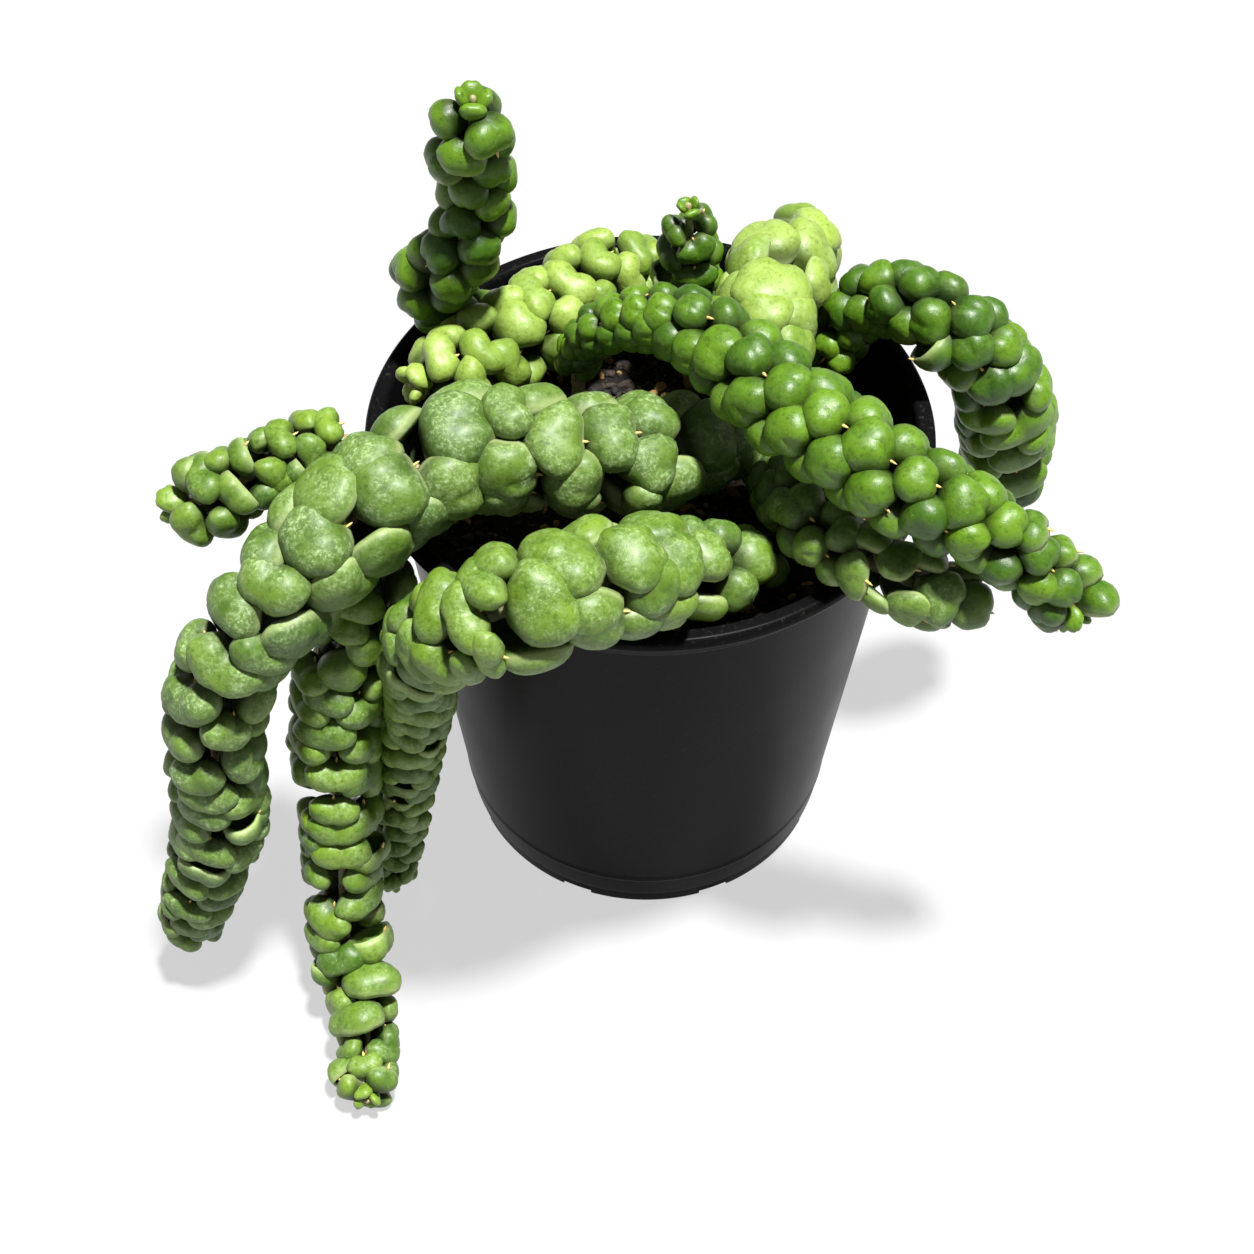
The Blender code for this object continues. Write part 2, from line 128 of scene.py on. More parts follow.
# The young leaves round a stem's end: each one's turn in degrees, its size as a share of the reach
# there, and how many millimetres it stands ahead.
TIP_LEAVES = ((20, 0.62, 0.0), (200, 0.56, 0.3), (110, 0.46, 1.6), (290, 0.42, 2.0))

CRUMBS = 1700

SUN_PLACE = Vector((0.15, -0.05, 0.98))
SUN_AIM = Vector((0, 0, 0.12))
SUN_ENERGY = 9.2
SUN_ANGLE = math.radians(5)
SKY_STRENGTH = 0.19
FLOOR_RADIUS = 3.0
FLOOR_GLOW = 0.61

# Each stem's leaves. facing is 1 where the leaves' points face the stem's tip, and -1 where they
# face its root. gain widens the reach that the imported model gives. root is how many millimetres
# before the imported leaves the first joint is, and around is how many leaves grow at each joint.
# Each stretch gives the share of the leafy length at which it ends, the kind of leaf, the spacing
# of its joints in millimetres, the turn of its first leaf in degrees, a size, and the share of
# leaves that stand open. Each leaf in "set" has a place of its own: it gives its share of the
# leafy length, its turn in degrees, its kind, half its width and half its length in millimetres,
# and how many degrees it is spun.
STRANDS = {
    "left_long": {
        "facing": -1, "colour": "bloomed", "bloom": 1.0, "gain": 1.16, "root": 2, "around": 3,
        "stretches": [(0.34, "scale", 7.0, 45, 0.90, 0.0), (0.50, "round", 7.6, 40, 0.80, 0.0),
                      (0.62, "bean", 7.2, 20, 0.86, 0.0), (1.0, "bean", 6.2, 0, 0.86, 0.08)],
        "set": [(0.05, 10, "round", 10.5, 9.5, 0), (0.11, 42, "scale", 8.4, 7.6, 4),
                (0.12, -20, "scale", 8.6, 8.6, -6), (0.12, -72, "bean", 8.5, 6.0, 28),
                (0.15, 22, "scale", 10.4, 8.2, 6), (0.175, -45, "round", 8.8, 8.6, 0),
                (0.195, 10, "scale", 10.8, 8.0, -4), (0.235, -40, "round", 10.2, 8.8, 0),
                (0.235, 40, "bean", 8.6, 7.0, 8), (0.275, 24, "round", 11.6, 10.2, 0),
                (0.30, -48, "round", 10.4, 10.0, -8), (0.35, -4, "round", 11.0, 10.4, 6),
                (0.35, 50, "round", 10.6, 9.0, 10), (0.42, 6, "round", 10.6, 9.4, -24),
                (0.465, 12, "bean", 10.4, 8.6, 12), (0.50, 34, "round", 10.4, 8.0, 10),
                (0.55, -6, "bean", 11.2, 8.0, 4), (0.565, 72, "bean", 8.6, 6.6, 0),
                (0.605, 28, "bean", 10.2, 7.6, 28), (0.625, -38, "bean", 7.8, 6.2, -24),
                (0.68, -60, "bean", 8.0, 6.4, -58), (0.69, 15, "bean", 8.4, 6.2, 10),
                (0.74, 14, "bean", 8.2, 6.8, -16), (0.80, 2, "bean", 9.8, 5.6, -8),
                (0.77, -72, "cup", 8.6, 6.4, -10), (0.865, 14, "bean", 8.8, 4.8, -4),
                (0.91, 2, "bean", 8.2, 3.9, -4),
                (0.90, 80, "bean", 6.4, 4.4, 0), (0.865, -65, "bean", 7.4, 4.8, 0),
                (0.235, -80, "round", 8.6, 8.0, 0), (0.17, -84, "scale", 8.0, 7.6, 0),
                (0.455, 64, "round", 9.4, 8.4, 0)],
    },
    "front_left": {
        "facing": -1, "colour": "green", "bloom": 0.9, "gain": 1.12, "root": 0, "around": 3,
        "stretches": [(0.09, "ball", 7.0, 20, 0.9, 0.0), (0.26, "scale", 6.4, 30, 0.80, 0.0),
                      (0.36, "round", 7.0, 0, 0.82, 0.0), (0.52, "bean", 6.2, 30, 0.78, 0.1),
                      (1.0, "bean", 5.8, 0, 0.86, 0.08)],
        "set": [(0.04, 15, "ball", 7.8, 7.2, 0), (0.12, 24, "scale", 7.6, 7.6, 0),
                (0.165, 10, "scale", 9.0, 8.6, 0), (0.19, -24, "scale", 8.8, 8.4, 0),
                (0.16, -62, "scale", 8.0, 7.4, 0), (0.26, 34, "round", 10.0, 9.4, 0),
                (0.25, -52, "round", 10.0, 8.8, 0), (0.287, -8, "round", 11.8, 10.0, 0),
                (0.325, 42, "bean", 10.4, 5.8, 26), (0.37, 38, "bean", 11.0, 6.6, -4),
                (0.335, -50, "bean", 10.0, 4.4, -26), (0.37, -64, "bean", 9.4, 4.4, -34),
                (0.45, 42, "bean", 8.6, 5.0, 0), (0.41, -8, "bean", 9.2, 5.6, -14),
                (0.475, -24, "cup", 8.0, 6.0, 10), (0.34, 6, "bean", 10.0, 6.0, 6),
                (0.27, 68, "round", 9.4, 8.6, 0), (0.315, 74, "bean", 9.0, 6.4, 10)],
    },
    "right_diagonal": {
        "facing": 1, "colour": "glossy", "bloom": 0.25, "gain": 1.06, "root": 14, "around": 3,
        "stretches": [(0.24, "ball", 4.4, 48, 0.94, 0.0), (0.90, "ball", 5.9, 48, 0.92, 0.03),
                      (1.0, "ball", 5.0, 48, 0.92, 0.25)],
        "set": [(0.33, 20, "ball", 7.4, 6.8, 0), (0.985, -78, "cup", 7.0, 5.6, 30),
                (0.95, -110, "cup", 6.6, 5.6, 0),
                (0.90, -75, "cup", 5.6, 4.6, -10)],
    },
    "right_arch": {
        "facing": -1, "colour": "glossy", "bloom": 0.3, "gain": 1.18, "root": 2, "around": 3,
        "stretches": [(0.50, "ball", 6.0, 30, 0.95, 0.04), (1.0, "bean", 6.6, 60, 0.84, 0.0)],
        "set": [(0.50, -26, "ball", 8.2, 7.0, 0), (0.63, 4, "bean", 12.6, 7.2, 6),
                (0.74, -58, "bean", 8.6, 6.0, 10), (0.87, 6, "bean", 10.0, 5.8, 0),
                (0.86, -80, "bean", 8.0, 5.0, 20)],
    },
    "right_low": {
        "facing": 1, "colour": "bloomed", "bloom": 0.5, "gain": 1.22, "root": 4, "around": 3,
        "stretches": [(0.60, "ball", 5.6, 40, 0.92, 0.0), (1.0, "round", 6.4, 40, 0.76, 0.0)],
        "set": [(0.40, 0, "ball", 7.0, 6.2, 0), (0.86, 10, "round", 7.6, 7.2, 0),
                (0.98, 14, "round", 7.4, 6.6, 0)],
    },
    "back_middle": {
        "facing": -1, "colour": "light", "bloom": 0.9, "gain": 1.12, "root": 4, "around": 3,
        "stretches": [(1.0, "round", 6.4, 60, 0.66, 0.0)],
        "set": [(0.70, 0, "round", 12.4, 10.8, 0), (0.42, 42, "round", 10.5, 9.5, 0),
                (0.35, -40, "round", 11.0, 9.5, 0), (0.75, -75, "round", 10.5, 9.5, 0),
                (0.12, 10, "round", 10.0, 8.5, 0), (0.30, 135, "round", 8.8, 7.6, 0),
                (0.38, -150, "round", 8.8, 7.6, 0), (0.55, 165, "round", 9.2, 8.0, 0),
                (0.68, -160, "round", 8.8, 7.6, 0), (0.85, 150, "round", 8.4, 7.4, 0)],
    },
    "back_short": {
        "facing": 1, "colour": "glossy", "bloom": 0.2, "gain": 1.08, "root": 6, "around": 2,
        "stretches": [(1.0, "bean", 5.0, 20, 0.92, 0.06)],
        "set": [],
    },
    "back_left": {
        "facing": -1, "colour": "light", "bloom": 0.5, "gain": 1.36, "root": 8, "around": 3,
        "stretches": [(1.0, "bean", 5.4, 20, 0.80, 0.0)],
        "set": [(0.62, 10, "round", 8.4, 7.4, 0), (0.28, 20, "bean", 7.2, 6.0, 0)],
    },
    "upright_left": {
        "facing": -1, "colour": "glossy", "bloom": 0.2, "gain": 1.14, "root": 16, "around": 3,
        "stretches": [(1.0, "ball", 6.4, -20, 0.98, 0.08)],
        "set": [],
    },
    "left_middle": {
        "facing": -1, "colour": "green", "bloom": 0.7, "gain": 1.20, "root": 4, "around": 3,
        "stretches": [(0.72, "bean", 6.0, 0, 0.88, 0.05), (1.0, "bean", 5.2, 10, 0.86, 0.40)],
        "set": [(0.02, 4, "bean", 9.6, 5.6, 10), (0.14, -20, "round", 7.6, 7.2, -20),
                (0.17, 48, "bean", 8.6, 5.4, 0), (0.26, 8, "bean", 9.8, 6.2, 4),
                (0.355, -10, "bean", 9.6, 5.8, 0), (0.43, 2, "bean", 7.8, 4.8, 0),
                (0.52, -5, "bean", 9.2, 6.0, 0), (0.63, -46, "bean", 8.6, 5.6, 28),
                (0.665, 32, "bean", 8.2, 5.8, -24), (0.72, -72, "cup", 8.0, 6.6, 0),
                (0.80, -42, "bowl", 8.8, 7.2, -20), (0.87, 10, "bowl", 8.4, 7.0, 0),
                (0.885, 100, "round", 7.4, 6.6, 60), (0.47, -70, "bean", 8.0, 5.6, 0),
                (0.54, -75, "cup", 8.0, 6.0, 0), (0.37, 80, "bean", 8.0, 5.0, 0),
                (0.47, 75, "bean", 8.0, 5.0, 0), (0.95, 80, "bowl", 5.4, 5.0, 40)],
    },
    "left_tip": {
        "facing": -1, "colour": "green", "bloom": 0.5, "gain": 1.20, "root": 16, "around": 3,
        "stretches": [(1.0, "bean", 5.4, 30, 0.86, 0.08)],
        "set": [],
    },
}


# Finishes


class Value:
    """A number that varies over a surface. Arithmetic on it adds Math nodes to its finish."""

    def __init__(self, finish, socket):
        self.finish = finish
        self.socket = socket

    def maths(self, operation, *values):
        inputs = dict(enumerate(values))
        return self.finish.node("Math", "Value", {"operation": operation}, inputs)

    def __add__(self, other):
        return self.maths("ADD", self, other)

    def __sub__(self, other):
        return self.maths("SUBTRACT", self, other)

    def __rsub__(self, other):
        return self.maths("SUBTRACT", other, self)

    def __mul__(self, other):
        return self.maths("MULTIPLY", self, other)

    __radd__ = __add__
    __rmul__ = __mul__


class Finish:
    """A material in the making, with its nodes."""

    def __init__(self, name):
        self.material = bpy.data.materials.new(name)
        self.material.use_nodes = True
        self.tree = self.material.node_tree
        self.shader = self.tree.nodes["Principled BSDF"]

    def node(self, kind, output, settings, inputs):
        """Adds one node, its settings first and then its inputs, and gives one of its outputs."""
        made = self.tree.nodes.new("ShaderNode" + kind)
        for name, value in settings.items():
            setattr(made, name, value)
        self.feed(made, inputs)
        return Value(self, made.outputs[output])

    def feed(self, node, inputs):
        for name, value in inputs.items():
            if isinstance(value, Value):
                self.tree.links.new(value.socket, node.inputs[name])
            else:
                node.inputs[name].default_value = value

    def surface(self, **inputs):
        """Sets the shader's own inputs, with each name's spaces written as underscores."""
        self.feed(self.shader, {name.replace("_", " "): v for name, v in inputs.items()})
        return self.material

    def place(self):
        return self.node("TexCoord", "Object", {}, {})

    def painted(self, name):
        """A number that was painted on the mesh's points."""
        return self.node("Attribute", "Fac", {"attribute_name": name}, {})

    def grain(self, size, detail=2.0, roughness=0.5):
        """Noise from 0 to 1 whose features are about size millimetres across."""
        inputs = {"Vector": self.place(), "Scale": 1 / (size * MM), "Detail": detail,
                  "Roughness": roughness}
        return self.node("TexNoise", "Fac", {"noise_dimensions": "3D"}, inputs)

    def span(self, value, low, high, start=0.0, end=1.0):
        """A smooth step from start to end, while value goes from low to high."""
        inputs = {"Value": value, "From Min": low, "From Max": high, "To Min": start, "To Max": end}
        return self.node("MapRange", "Result", {"interpolation_type": "SMOOTHSTEP"}, inputs)

    def mix(self, share, first, second):
        """A colour between first and second."""
        colours = [c if isinstance(c, Value) else (*c, 1) for c in (first, second)]
        inputs = {0: share, 6: colours[0], 7: colours[1]}
        return self.node("Mix", 2, {"data_type": "RGBA"}, inputs)

    def bump(self, height, depth, strength=1.0):
        """A normal from a height of 0 to 1 that is depth millimetres deep."""
        inputs = {"Height": height, "Distance": depth * MM, "Strength": strength}
        return self.node("Bump", "Normal", {}, inputs)


def leaf_finish(name, deep, light, cover, roughness):
    """Waxy skin: each leaf has its own tone, with mottling, a powdery bloom, painted shade towards
    the stem in the crevices between leaves, pale edges and a tan spur at its point."""
    finish = Finish(name)
    mottle = finish.grain(5.5, 4.0, 0.6)
    speck = finish.grain(0.75, 3.0, 0.65)
    worm = finish.grain(1.5, 4.0, 0.7)
    drift = finish.grain(7.0, 2.0)
    tone = finish.painted("tone")
    skin = finish.mix(finish.span(tone * 0.6 + mottle * 0.8, 0.30, 1.05), deep, light)
    dull = tuple(channel * 0.55 for channel in deep)
    skin = finish.mix(finish.span(worm, 0.50, 0.30) * 0.55, skin, dull)
    cloud = finish.span(drift, 0.30, 0.70) * finish.painted("bloom") * cover
    grains = finish.span(worm, 0.46, 0.66) * 0.75 + finish.span(speck, 0.50, 0.72) * 0.5
    powder = grains * cloud
    skin = finish.mix(powder * 0.75 + cloud * 0.12, skin, BLOOM)
    dots = finish.span(speck, 0.66, 0.74) * 0.6
    skin = finish.mix(dots, skin, tuple(min(1.0, channel * 1.9) for channel in light))
    # Painted shade: the skin darkens towards the stem, in the crevices where neighbouring leaves
    # meet.
    painted_crevice_shade = finish.span(finish.painted("depth"), 0.12, 0.64)
    skin = finish.mix(painted_crevice_shade * 0.86, skin, tuple(channel * 0.16 for channel in deep))
    skin = finish.mix(finish.painted("edge") * 0.68, skin, EDGE)
    skin = finish.mix(finish.painted("hollow") * 0.5, skin, HOLLOW)
    skin = finish.mix(finish.painted("spur"), skin, SPUR)
    return finish.surface(
        Base_Color=skin,
        Roughness=powder * 0.25 + mottle * 0.08 + (roughness - 0.04),
        Normal=finish.bump(worm * 0.6 + drift * 0.8, 0.45, 0.7),
        Coat_Weight=0.07 - powder * 0.05,
        Coat_Roughness=0.28,
        Specular_IOR_Level=0.40,
        Subsurface_Weight=0.06,
        Subsurface_Radius=(0.6, 1.0, 0.25),
        Subsurface_Scale=1.4 * MM,
    )


def stem_finish():
    """Pale brown and green rind, ringed and a little pink."""
    finish = Finish("stem_rind")
    streak = finish.grain(1.6, 3.0)
    patch = finish.grain(6.0, 2.0)
    bark = finish.mix(finish.span(patch, 0.35, 0.65), (0.30, 0.20, 0.12), (0.22, 0.27, 0.10))
    bark = finish.mix(finish.span(streak, 0.45, 0.7) * 0.5, bark, (0.46, 0.38, 0.24))
    return finish.surface(
        Base_Color=bark, Roughness=streak * 0.2 + 0.5, Normal=finish.bump(streak, 0.4, 0.6),
        Subsurface_Weight=0.08, Subsurface_Radius=(1.0, 0.6, 0.3), Subsurface_Scale=1.0 * MM,
    )


def pot_finish():
    """Thin black moulded plastic: satin, faintly uneven, and dusty along its edges."""
    finish = Finish("black_pot_plastic")
    cloud = finish.grain(26.0, 3.0)
    fine = finish.grain(0.7, 3.0)
    dust = finish.span(finish.grain(1.4, 4.0, 0.7), 0.56, 0.80) * finish.painted("dust")
    black = finish.mix(cloud, (0.0026, 0.0026, 0.0029), (0.0048, 0.0048, 0.0052))
    return finish.surface(
        Base_Color=finish.mix(dust * 0.55, black, (0.11, 0.095, 0.075)),
        Roughness=cloud * 0.10 + fine * 0.06 + dust * 0.3 + 0.24,
        Normal=finish.bump(fine * 0.6 + cloud, 0.10, 0.35),
        Specular_IOR_Level=0.40,
        IOR=1.11,
    )


def soil_finish():
    """Damp, nearly black potting mix."""
    finish = Finish("potting_mix")
    crumb = finish.grain(2.2, 5.0, 0.65)
    fleck = finish.grain(1.1, 2.0)
    earth = finish.mix(finish.span(crumb, 0.35, 0.7), (0.002, 0.0015, 0.001), (0.014, 0.009, 0.005))
    earth = finish.mix(finish.span(fleck, 0.66, 0.74) * 0.6, earth, (0.24, 0.13, 0.04))
    return finish.surface(Base_Color=earth, Roughness=crumb * 0.1 + 0.85, Specular_IOR_Level=0.25,
                          Normal=finish.bump(crumb, 1.6, 0.9))


def crumb_finish():
    """Bits of bark, grit and fibre, each of its own colour from black to golden brown."""
    finish = Finish("bark_crumbs")
    tone = finish.painted("tone")
    rough = finish.grain(0.8, 3.0)
    dark = finish.mix(finish.span(tone, 0.1, 0.75), (0.003, 0.002, 0.0015), (0.030, 0.018, 0.009))
    gold = finish.mix(finish.span(tone, 0.80, 0.97), dark, (0.34, 0.20, 0.06))
    return finish.surface(Base_Color=finish.mix(rough * 0.35, gold, (0.02, 0.012, 0.006)),
                          Roughness=rough * 0.2 + 0.68, Normal=finish.bump(rough, 0.5, 0.8))


def pumice_finish():
    """Porous golden stone."""
    finish = Finish("golden_pumice")
    pore = finish.grain(0.6, 4.0, 0.7)
    patch = finish.grain(2.5, 2.0)
    stone = finish.mix(patch, (0.20, 0.11, 0.035), (0.52, 0.34, 0.13))
    stone = finish.mix(finish.span(pore, 0.6, 0.4), stone, (0.07, 0.035, 0.012))
    return finish.surface(Base_Color=stone, Roughness=0.85, Normal=finish.bump(pore, 0.6, 1.0))


def floor_finish():
    """Plain matt white, with a faint glow that keeps the shadows on it pale."""
    finish = Finish("studio_floor")
    wash = finish.grain(400.0, 1.0)
    return finish.surface(Base_Color=finish.mix(wash, (0.13, 0.13, 0.13), (0.14, 0.14, 0.14)),
                          Roughness=0.9, Specular_IOR_Level=0.1,
                          Emission_Color=(1, 1, 1, 1), Emission_Strength=FLOOR_GLOW)


# Meshes


def make_piece(name, points, faces, finish, replaced=(), painted=None):
    """A smooth mesh piece that rides on the model, with the numbers that its finish reads."""
    mesh = bpy.data.meshes.new(name)
    mesh.from_pydata(np.asarray(points).tolist(), [], faces)
    mesh.validate()
    for title, values in (painted or {}).items():
        mesh.attributes.new(title, "FLOAT", "POINT")
        mesh.attributes[title].data.foreach_set("value", np.asarray(values, np.float32))
    mesh.shade_smooth()
    mesh.materials.append(finish)
    piece = bpy.data.objects.new(name, mesh)
    bpy.context.scene.collection.objects.link(piece)
    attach(piece, "root")
    if replaced:
        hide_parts(*replaced)
    return piece


def ball_faces(rows, columns, first):
    """The faces over one point, rows of columns points each, and one last point."""
    faces = []
    last = first + 1 + rows * columns
    for column in range(columns):
        after = (column + 1) % columns
        faces.append((first, first + 1 + column, first + 1 + after))
        for row in range(rows - 1):
            here = first + 1 + row * columns
            below = here + columns
            faces.append((here + column, below + column, below + after, here + after))
        end = last - columns
        faces.append((last, end + after, end + column))
    return faces


class Heap:
    """Points, faces and painted numbers that are gathered for one mesh."""

    def __init__(self, *titles):
        self.points = []
        self.faces = []
        self.painted = {title: [] for title in titles}
        self.count = 0

    def add(self, points, rows, columns, **painted):
        self.faces += ball_faces(rows, columns, self.count)
        self.points.append(points)
        self.count += len(points)
        for title, gathered in self.painted.items():
            gathered.append(np.broadcast_to(painted.get(title, 0.0), len(points)))

    def piece(self, name, finish, slot, replaced=()):
        painted = {title: np.concatenate(values) for title, values in self.painted.items()}
        points = np.concatenate(self.points)
        return make_piece(name, points, self.faces, finish, replaced, painted)


def smooth_step(value, low, high):
    share = np.clip((value - low) / (high - low), 0, 1)
    return share * share * (3 - 2 * share)


def unit(vectors):
    return vectors / np.linalg.norm(vectors, axis=-1, keepdims=True)


# The stems' lines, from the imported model


def welded(node):
    """A node's points and edges, with the points that lie together joined."""
    mesh = node.data
    places = np.zeros(len(mesh.vertices) * 3)
    mesh.vertices.foreach_get("co", places)
    places, joined = np.unique(places.reshape(-1, 3).round(6), axis=0, return_inverse=True)
    edges = np.zeros(len(mesh.edges) * 2, int)
    mesh.edges.foreach_get("vertices", edges)
    edges = joined.ravel()[edges.reshape(-1, 2)]
    return places, edges[edges[:, 0] != edges[:, 1]]


def ring_numbers(places, edges, reach):
    """Numbers each point by the ring that edges shorter than reach join it to."""
    number = np.arange(len(places))
    near = edges[np.linalg.norm(places[edges[:, 0]] - places[edges[:, 1]], axis=1) < reach]
    for _ in range(12):
        lowest = np.minimum(number[near[:, 0]], number[near[:, 1]])
        np.minimum.at(number, near[:, 0], lowest)
        np.minimum.at(number, near[:, 1], lowest)
    return np.unique(number, return_inverse=True)[1]


def stem_rings(node, tip):
    """The centre and radius of each ring of a stem's tube, from its root to the end near tip."""
    places, edges = welded(node)
    for reach in np.arange(0.9, 4.0, 0.1) * MM:
        ring = ring_numbers(places, edges, reach)
        if np.all(np.bincount(ring) == 6):
            break
    count = ring.max() + 1
    centres = np.array([places[ring == n].mean(0) for n in range(count)])
    radii = np.array([np.linalg.norm(places[ring == n] - centres[n], axis=1).max()
                      for n in range(count)])
    joined = [set() for _ in range(count)]
    for a, b in ring[edges]:
        if a != b:
            joined[a].add(b)
            joined[b].add(a)
    ends = [n for n in range(count) if len(joined[n]) == 1]
    order = [max(ends, key=lambda n: np.linalg.norm(centres[n] - tip))]
    while len(order) < count:
        order += [n for n in joined[order[-1]] if n not in order][:1]
    return centres[order], radii[order]


def rounded_line(points, parts=12):
    """A smooth line through points, with parts steps between each two."""
    padded = np.vstack([2 * points[0] - points[1], points, 2 * points[-1] - points[-2]])
    a, b, c, d = padded[:-3], padded[1:-2], padded[2:-1], padded[3:]
    t = np.arange(parts)[None, :, None] / parts
    a, b, c, d = (p[:, None, :] for p in (a, b, c, d))
    line = 0.5 * (2 * b + (c - a) * t + (2 * a - 5 * b + 4 * c - d) * t ** 2
                  + (3 * b - a - 3 * c + d) * t ** 3)
    return np.vstack([line.reshape(-1, 3), points[-1]])


class Strand:
    """One stem's line: places and directions along it, and how far its leaves reach."""

    def __init__(self, name, gain):
        self.gain = gain
        self.stem = "stem_" + name
        self.sleeves = sorted(
            (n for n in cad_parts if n.startswith("leaves_" + name + "_")),
            key=lambda n: int(n.rsplit("_", 1)[1]))
        low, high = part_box(self.sleeves[-1])
        tip = np.array((low + high) / 2)
        centres, radii = stem_rings(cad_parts[self.stem], tip)
        self.line = rounded_line(centres)
        steps = np.linalg.norm(np.diff(self.line, axis=0), axis=1)
        self.along = np.concatenate([[0], np.cumsum(steps)])
        self.length = self.along[-1]
        self.radii = np.interp(np.linspace(0, 1, len(self.line)),
                               np.linspace(0, 1, len(radii)), radii)
        self.tangents = unit(np.gradient(self.line, axis=0))
        self.measure_reach()

    def measure_reach(self):
        """The leaves' reach along the line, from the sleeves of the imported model."""
        points = np.vstack([welded(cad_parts[n])[0] for n in self.sleeves])
        gaps = np.linalg.norm(points[:, None] - self.line[None], axis=2)
        nearest = gaps.argmin(1)
        where, far = self.along[nearest], gaps.min(1)
        self.start, self.end = where.min(), where.max()
        self.marks = np.arange(self.start, self.end + MM, 2 * MM)
        reach = [far[np.abs(where - s) < 6 * MM].max() for s in self.marks]
        padded = np.pad(reach, 1, mode="edge")
        self.reach = (padded[:-2] + padded[1:-1] + padded[2:]) / 3 * self.gain

    def at(self, s):
        """The place and the directions along, out to the front and across, at s."""
        place = np.array([np.interp(s, self.along, self.line[:, k]) for k in range(3)])
        along = unit(np.array([np.interp(s, self.along, self.tangents[:, k]) for k in range(3)]))
        out = unit(FRONT - FRONT @ along * along)
        return place, along, out, np.cross(along, out)

    def reach_at(self, s):
        return np.interp(s, self.marks, self.reach)


# Leaves


def closed_outline(kind, rows):
    """How far out and how high the points of each row of a plump leaf are, from 0 to 1, and how
    near they are to its edge."""
    turn = np.linspace(0, math.pi, rows + 2)
    out = np.sin(turn) ** kind["plump"]
    out[[0, -1]] = 0
    high = np.cos(turn)
    high = np.where(high > 0, high, high * kind["belly"] / kind["tall"])
    edge = np.exp(-((turn - 1.42) / 0.19) ** 2)
    return out, high, edge, np.zeros(rows + 2)


def open_outline(kind, rows):
    """The same for a leaf that is hollow and open below."""
    half = (rows + 2) // 2
    turn = np.linspace(0, 1.95, half)
    thick = 0.17
    outer = np.stack([np.sin(turn) ** kind["plump"], np.cos(turn)])
    inner = outer[:, ::-1] * (1 - thick)
    out, high = np.hstack([outer, inner])
    out[[0, -1]] = 0
    edge = np.exp(-((np.arange(2 * half) - half + 0.5) / 1.3) ** 2)
    hollow = (np.arange(2 * half) >= half).astype(float)
    return out, high, edge, hollow


def leaf_points(kind, sizes, detail):
    """A leaf's points round its own middle: across, towards its point, and out from the stem. It
    also gives the rows, the columns, and each point's nearness to the edge and the hollow."""
    columns = 2 * round(detail * 12)
    rows = round(detail * 12)
    outline = open_outline if kind["belly"] == 0 else closed_outline
    out, high, edge, hollow = outline(kind, rows)
    rows = len(out) - 2
    turn = np.linspace(0, math.tau, columns, endpoint=False) + math.pi / 2
    wobble = RNG.uniform(0, math.tau, 8)
    from_point = turn - math.pi / 2 - math.tau * (turn > 4.72)
    rim = 1 - kind["notch"] * np.exp(-(from_point / 0.30) ** 2)
    rim *= 1 - 0.4 * kind["notch"] * np.exp(-((turn - 3 * math.pi / 2) / 0.35) ** 2)
    for number, waves in enumerate((2, 3, 5, 8)):
        rim += kind["lumps"] * np.sin(waves * turn + wobble[number]) * (1.0, 0.9, 0.7, 0.5)[number]
    x = out[:, None] * rim * np.cos(turn)
    y = out[:, None] * rim * np.sin(turn)
    z = np.repeat(high[:, None], columns, axis=1)
    upper = smooth_step(z, -0.2, 0.35)
    lean = RNG.normal(0, 0.13)
    z = z + upper * kind["lumps"] * 1.8 * np.sin(3.1 * x + wobble[4]) * np.sin(3.7 * y + wobble[5])
    z -= upper * kind["lobes"] * np.exp(-(x / 0.30) ** 2) * smooth_step(y, -0.9, 0.6)
    z -= upper * kind["fold"] * np.exp(-(x / 0.075) ** 2) * smooth_step(y, -0.5, 0.7)
    z += upper * lean * x * 0.6
    grid = np.stack([x * sizes[0] * (1 + lean * y), y * sizes[1], z * sizes[2]], axis=-1)
    spread = np.repeat(edge * kind["pale"], columns), np.repeat(hollow, columns)
    flat = grid.reshape(-1, 3)
    keep = slice(columns - 1, len(flat) - columns + 1)
    points = flat[keep].copy()
    points[0] = grid[0].mean(0)
    points[-1] = grid[-1].mean(0)
    return points, rows, columns, spread[0][keep], spread[1][keep]


def turned(points, angle, first, second):
    """Turns points by angle in the plane of two of their three directions."""
    c, s = math.cos(angle), math.sin(angle)
    points = points.copy()
    a, b = points[:, first].copy(), points[:, second].copy()
    points[:, first] = a * c - b * s
    points[:, second] = a * s + b * c
    return points


def add_spur(heap, base, direction, length, thick):
    """The short dry spur at a leaf's point."""
    side = unit(np.cross(direction, (0.3, 0.5, 0.8)))
    other = np.cross(direction, side)
    turn = np.linspace(0, math.tau, 6, endpoint=False)[:, None]
    ring = np.cos(turn) * side + np.sin(turn) * other
    bend = side * RNG.normal(0, 0.18) * length
    points = np.vstack([base - direction * thick, base + ring * thick,
                        base + direction * length * 0.6 + bend * 0.4 + ring * thick * 0.6,
                        base + direction * length + bend])
    heap.add(points, 2, 6, tone=0.5, spur=1.0)


def leaf_sizes(kind, reach, size, half_width=None, half_length=None):
    """Half a leaf's width, half its length and its rise, in metres."""
    if half_width:
        tall = min(0.56 * reach, 0.92 * half_length * MM)
        return half_width * MM, half_length * MM, tall
    return tuple(kind[side] * reach * size for side in ("wide", "long", "tall"))


def leaf_middle(strand, s, azimuth, tall):
    """Where the middle of a leaf is, and the way out from the stem there."""
    place, along, out, side = strand.at(s)
    turn = math.radians(azimuth)
    normal = math.cos(turn) * out + math.sin(turn) * side
    return place + (strand.reach_at(s) - tall) * normal, normal


